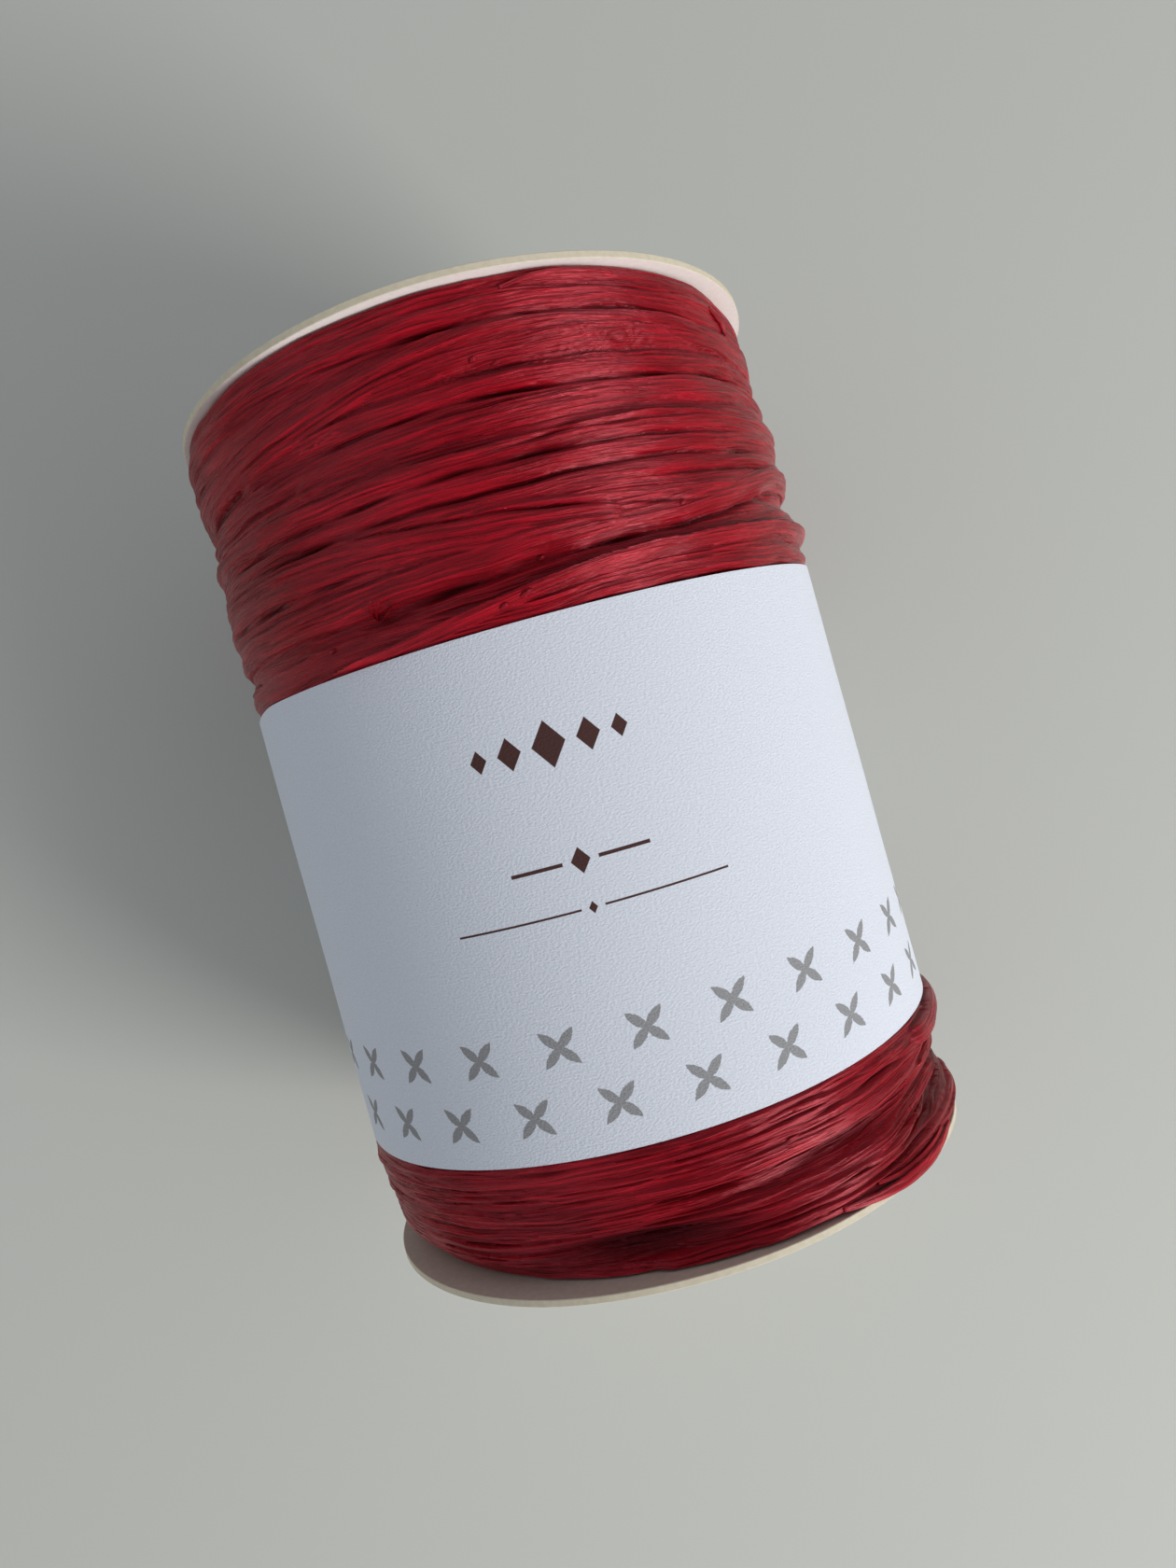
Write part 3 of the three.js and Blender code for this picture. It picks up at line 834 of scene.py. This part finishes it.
def card_material():
    """Pale card with a browner cut rim. The lower disc's inner face gets a darker, warmer colour as painted
    shade.
    """
    n = new_material("card")
    where = n.add("ShaderNodeTexCoord").outputs["Object"]
    grain = n.add("ShaderNodeTexNoise", {"Vector": where, "Scale": 1400, "Detail": 3}).outputs["Fac"]
    split = n.add("ShaderNodeSeparateXYZ", {0: where})
    level = n.math("SUBTRACT", split.outputs["Z"], AXIS_HEIGHT * MM)
    squares = (n.math("MULTIPLY", side, side) for side in (split.outputs["X"], level))
    out = n.math("SQRT", n.math("ADD", *squares))
    rim = n.ramp(out, (DISC_RADIUS - 0.12) * MM, (DISC_RADIUS - 0.04) * MM)
    # Painted shade: the lower disc's inner face lies in shade, with red light thrown back from the raffia,
    # so its colour is painted darker and warmer
    lower = n.math("LESS_THAN", split.outputs["Y"], 0.0)
    inner = n.math("GREATER_THAN", split.outputs["Y"], -(DISC_FACE + CARD["thickness"] / 2) * MM)
    face = n.mix(grain, rgb(236, 228, 222), rgb(250, 244, 240))
    painted_shade_face = n.mix(grain, rgb(172, 156, 146), rgb(196, 180, 168))
    face = n.mix(n.math("MULTIPLY", lower, inner), face, painted_shade_face)
    cut_edge = n.mix(grain, rgb(196, 184, 160), rgb(222, 212, 190))
    bump = n.add("ShaderNodeBump", {"Height": grain, "Strength": 0.25, "Distance": 0.0001})
    n.set(Base_Color=n.mix(rim, face, cut_edge), Roughness=0.7, Normal=bump.outputs[0])
    return n.owner


# The label's print, in mm along the strip (round the spool) and up it. The crosses stand in staggered rows,
# and the marks are each a middle, half a length and half a height

CROSSES = {"column": 62.8, "pitch": 9.84, "row": -26.4, "row_step": 7.25, "last_row": 2}
PETAL = {"middle": 1.28, "half": 1.62, "width": 0.56}
MARKS_AT = 64.9
LOZENGES = [
    (0, 6.1, 1.9, 2.7), (4.4, 6.1, 1.35, 1.9), (-4.4, 6.1, 1.35, 1.9), (7.9, 6.1, 0.95, 1.35),
    (-7.9, 6.1, 0.95, 1.35), (0, -7, 1.1, 1.5), (0, -12.3, 0.5, 0.7),
]
RULES = [(4.9, -7, 2.9, 0.22), (-4.9, -7, 2.9, 0.22), (8.5, -12.3, 7.2, 0.13), (-8.5, -12.3, 7.2, 0.13)]


def crosses_on(n, u, v):
    """A node value above 0 inside the crosses, in mm from their edges."""
    c = CROSSES
    row = n.math("ROUND", n.math("MULTIPLY", n.math("SUBTRACT", c["row"], v), 1 / c["row_step"]))
    row = n.math("MINIMUM", n.math("MAXIMUM", row, 0), c["last_row"])
    up = n.math("ADD", n.math("SUBTRACT", v, c["row"]), n.math("MULTIPLY", row, c["row_step"]))
    column = n.math("MULTIPLY", n.math("SUBTRACT", u, c["column"] - c["pitch"] / 2), 1 / c["pitch"])
    column = n.math("ADD", column, n.math("MULTIPLY", row, 0.5))
    out = n.math("MULTIPLY", n.math("SUBTRACT", n.math("FRACT", column), 0.5), c["pitch"])
    slopes = (n.math("MULTIPLY", n.math(kind, out, up), math.sqrt(0.5)) for kind in ("ADD", "SUBTRACT"))
    first, second = (n.math("ABSOLUTE", slope) for slope in slopes)
    inside = []
    for along, across in ((first, second), (second, first)):
        share = n.math("MULTIPLY", n.math("SUBTRACT", along, PETAL["middle"]), 1 / PETAL["half"])
        wide = n.math("SUBTRACT", 1, n.math("MULTIPLY", share, share))
        inside.append(n.math("SUBTRACT", n.math("MULTIPLY", wide, PETAL["width"]), across))
    return n.math("MAXIMUM", *inside)


def off(n, value, middle):
    """A node value: how far a value is off a middle."""
    return n.math("ABSOLUTE", n.math("SUBTRACT", value, middle))


def marks_on(n, u, v):
    """A node value above 0 inside the plain marks."""
    inside = -1.0
    for out, up, half_length, half_height in LOZENGES:
        across = n.math("MULTIPLY", off(n, u, MARKS_AT + out), 1 / half_length)
        height = n.math("MULTIPLY", off(n, v, up), 1 / half_height)
        inside = n.math("MAXIMUM", inside, n.math("SUBTRACT", 1, n.math("ADD", across, height)))
    for out, up, half_length, half_height in RULES:
        across = n.math("SUBTRACT", half_length, off(n, u, MARKS_AT + out))
        height = n.math("SUBTRACT", half_height, off(n, v, up))
        inside = n.math("MAXIMUM", inside, n.math("MINIMUM", across, height))
    return inside


def label_material():
    """Felt-marked white paper with grey crosses and dark brown marks."""
    n = new_material("label_paper")
    uv = n.add("ShaderNodeUVMap", uv_map="strip").outputs[0]
    felt = n.texture(uv, 0.36, 0.23, 4)
    ragged = n.texture(uv, 0.35, 0.35, 2)
    speckle = n.texture(uv, 0.16, 0.16, 1)
    split = n.add("ShaderNodeSeparateXYZ", {0: uv})
    u, v = split.outputs["X"], split.outputs["Y"]
    edge = n.math("MULTIPLY", n.math("SUBTRACT", ragged, 0.5), 0.22)
    crosses = n.ramp(n.math("ADD", crosses_on(n, u, v), edge), -0.03, 0.03)
    marks = n.ramp(marks_on(n, u, v), -0.02, 0.03)
    grey = n.mix(n.ramp(speckle, 0.35, 0.7), rgb(136, 136, 139), rgb(158, 158, 160))
    colour = n.mix(n.ramp(felt, 0.3, 0.7), rgb(213, 217, 228), rgb(223, 227, 237))
    colour = n.mix(crosses, colour, grey)
    colour = n.mix(marks, colour, n.mix(speckle, rgb(58, 30, 27), rgb(80, 46, 42)))
    bump = n.add("ShaderNodeBump", {"Height": felt, "Strength": 0.5, "Distance": 0.00017})
    n.set(Base_Color=colour, Roughness=0.9, Normal=bump.outputs[0])
    return n.owner


def floor_material():
    n = new_material("floor")
    n.set(Base_Color=rgb(196, 197, 191), Roughness=0.85)
    return n.owner


# The pieces

def build_zone(material, name, low, high, rings):
    """The ribbons beside the label, cut in rings."""
    field = zone(low, high)
    cuts = np.linspace(0, len(field["points"]) - 1, rings + 1).astype(int)
    for number, (first, last) in enumerate(zip(cuts, cuts[1:]), 1):
        piece = f"{name}_{number}"
        add_piece(piece, ring_of_zone(piece, field, first, last), material, "raffia", "winding")
    return field


def build_middle(material):
    """The raffia under the label, which hardly shows."""
    angles = np.arange(120) * 3.0
    rows = np.linspace(ZONES["raffia_lower"]["high"], ZONES["raffia_upper"]["low"], 24)
    held = LABEL_RADIUS - LABEL_THICKNESS - 0.15
    outside = [placed(angles, y, held + 0.05 * np.sin(angles / 9 + y)) for y in rows]
    inside = [placed(angles, y, DISC_RADIUS - CORE_DEPTH) for y in (rows[-1], rows[0])]
    middle = ring_mesh("raffia_middle", np.array(outside + inside))
    add_piece("raffia_middle", middle, material, "raffia", "winding")


def build_strips(material, fields):
    """The loose strips and torn ends, which lie on the ribbons."""
    strips = STRIPS + [nub_strip(nub) for nub in NUBS]
    outlines = [strip_points(fields, strip, 400 + number) for number, strip in enumerate(strips)]
    add_piece("raffia_strips", strips_mesh("raffia_strips", outlines), material, "raffia", "winding")


def build_discs(material):
    """Card discs, a little wavy at the rim, with softly pressed edges."""
    theta = np.radians(np.arange(240) * 1.5)
    soft, thickness = CARD["edge"], CARD["thickness"]
    face = [0.02, 20, 30, 36, DISC_RADIUS - soft]
    radii = face + [DISC_RADIUS, DISC_RADIUS] + face[::-1]
    depths = len(face) * [0] + [soft, thickness - soft] + len(face) * [thickness]
    for seed, (name, node, side) in enumerate(DISCS):
        wave = 0.5 + 0.5 * noise(np.cos(theta) * 1.6, np.sin(theta) * 1.6, 200 + seed)
        rings = []
        for radius, depth in zip(radii, depths):
            along = side * (DISC_FACE + depth + CARD["wave"] * wave * (radius / DISC_RADIUS) ** 6)
            height = np.maximum(AXIS_HEIGHT + radius * np.sin(theta), 0)
            rings.append(np.stack([radius * np.cos(theta), along, height], -1))
        points = np.array(rings if side > 0 else rings[::-1])
        add_piece(name, ring_mesh(name, points, sharp=35), material, "card", node)


def build_label(material):
    """The paper strip, wrapped once round and lapped behind, its edges and face not quite even."""
    angles = np.sort(np.append(np.arange(0, 360, 0.8), LABEL_LAP["end"] + 0.06))
    columns = len(angles)
    rows = np.linspace(LABEL_EDGES["lower"], LABEL_EDGES["upper"], 56)
    lapped = soft_step((angles - LABEL_LAP["start"]) / 3) * (angles <= LABEL_LAP["end"])
    outer, inner, ups = [], [], []
    for y in rows:
        at_edge = max(y / rows[-1], 0) ** 20
        up = y + at_edge * UPPER_EDGE_DIP["depth"] * edge_dip(angles)
        ease = LABEL_EASE * (0.6 + noise(angles / 30, y / 22, 300))
        radius = LABEL_RADIUS - LABEL_EASE / 2 + ease + LABEL_THICKNESS * lapped
        outer.append(placed(angles, up, radius))
        inner.append(placed(angles, up, radius - LABEL_THICKNESS))
        ups.append(up)
    points = np.array(outer + [inner[-1], inner[0]])
    strip = np.zeros((len(points), columns, 4, 2))
    girth = np.append(angles, 360) * GIRTH / 360
    strip[..., 0] = np.stack([girth[:-1], girth[:-1], girth[1:], girth[1:]], -1)
    strip[..., 1] = corners_of(np.array(ups + [ups[-1], ups[0]]))
    mesh = ring_mesh("label", points, {"strip": strip}, sharp=40)
    add_piece("label", mesh, material, "label_paper", "label_band")


def rotation_of(turn):
    """The rotation about an axis whose direction times its angle is turn, in degrees."""
    vector = Vector(math.radians(v) for v in turn)
    return Matrix.Rotation(vector.length, 3, vector.normalized())


def build_camera():
    data = bpy.data.cameras.new("camera")
    camera = bpy.data.objects.new("camera", data)
    bpy.context.scene.collection.objects.link(camera)
    data.sensor_width = SENSOR
    data.lens = FOCAL_PIXELS * SENSOR / PICTURE["height"]
    looking_down = Matrix(((1, 0, 0), (0, -1, 0), (0, 0, -1)))
    # The rows are right, down and forward, and the camera itself looks along its -Z with its Y up
    axes = rotation_of(CAMERA_TURN) @ looking_down
    facing = Matrix((axes[0], -axes[1], -axes[2])).transposed().to_4x4()
    x, y, z = CAMERA_PLACE
    place = Vector((x, y, z + AXIS_HEIGHT)) * MM
    camera.matrix_world = Matrix.Translation(place) @ facing
    data.clip_start, data.clip_end = 0.005, 50
    bpy.context.scene.camera = camera


def add_light(name, place, target, size, power, colour):
    data = bpy.data.lights.new(name, "AREA")
    data.shape = "RECTANGLE"
    data.size, data.size_y = size
    data.energy = power
    data.color = colour
    light = bpy.data.objects.new(name, data)
    light.location = place
    light.rotation_mode = "QUATERNION"
    light.rotation_quaternion = (Vector(target) - Vector(place)).to_track_quat("-Z", "Y")
    bpy.context.scene.collection.objects.link(light)


def light_place(azimuth, elevation, distance):
    """A place seen from the spool's middle in that direction, azimuth from +X towards +Y."""
    a, e = math.radians(azimuth), math.radians(elevation)
    return [distance * part for part in (math.cos(a) * math.cos(e), math.sin(a) * math.cos(e), math.sin(e))]


def build_sky():
    """Room light, brightest halfway up, dim at the horizon and overhead."""
    n = Nodes(bpy.data.worlds.new("world"), "Background")
    up = n.add("ShaderNodeSeparateXYZ", {0: n.add("ShaderNodeTexCoord").outputs["Generated"]}).outputs["Z"]
    at = SKY_HEIGHTS
    rise = (at["horizon"], at["middle"], SKY["horizon"], SKY["middle"])
    fall = (at["upper"], at["zenith"], 1, SKY["zenith"] / SKY["middle"])
    curves = [n.ramp(up, *values, interpolation_type="SMOOTHSTEP") for values in (rise, fall)]
    n.set(Color=SKY["colour"], Strength=n.math("MULTIPLY", *curves))
    bpy.context.scene.world = n.owner


def build_floor(material):
    """A plain surface just below the spool."""
    half = 4
    corners = [(-half, -half, 0), (half, -half, 0), (half, half, 0), (-half, half, 0)]
    mesh = bpy.data.meshes.new("floor")
    mesh.from_pydata(corners, [], [(0, 1, 2, 3)])
    mesh.materials.append(material)
    floor = bpy.data.objects.new("floor", mesh)
    floor.location.z = -0.0001
    bpy.context.scene.collection.objects.link(floor)


def build_windows():
    for name, window in WINDOWS.items():
        place = light_place(window["azimuth"], WINDOW["elevation"], WINDOW["distance"])
        add_light(name, place, WINDOW["aim"], window["size"], window["power"], WINDOW["colour"])


build_camera()
raffia = raffia_material()
zone_fields = [build_zone(raffia, name, **sizes) for name, sizes in ZONES.items()]
build_middle(raffia)
build_strips(raffia, zone_fields)
build_discs(card_material())
build_label(label_material())
build_floor(floor_material())
build_sky()
build_windows()
bpy.context.scene.view_settings.view_transform = "Standard"
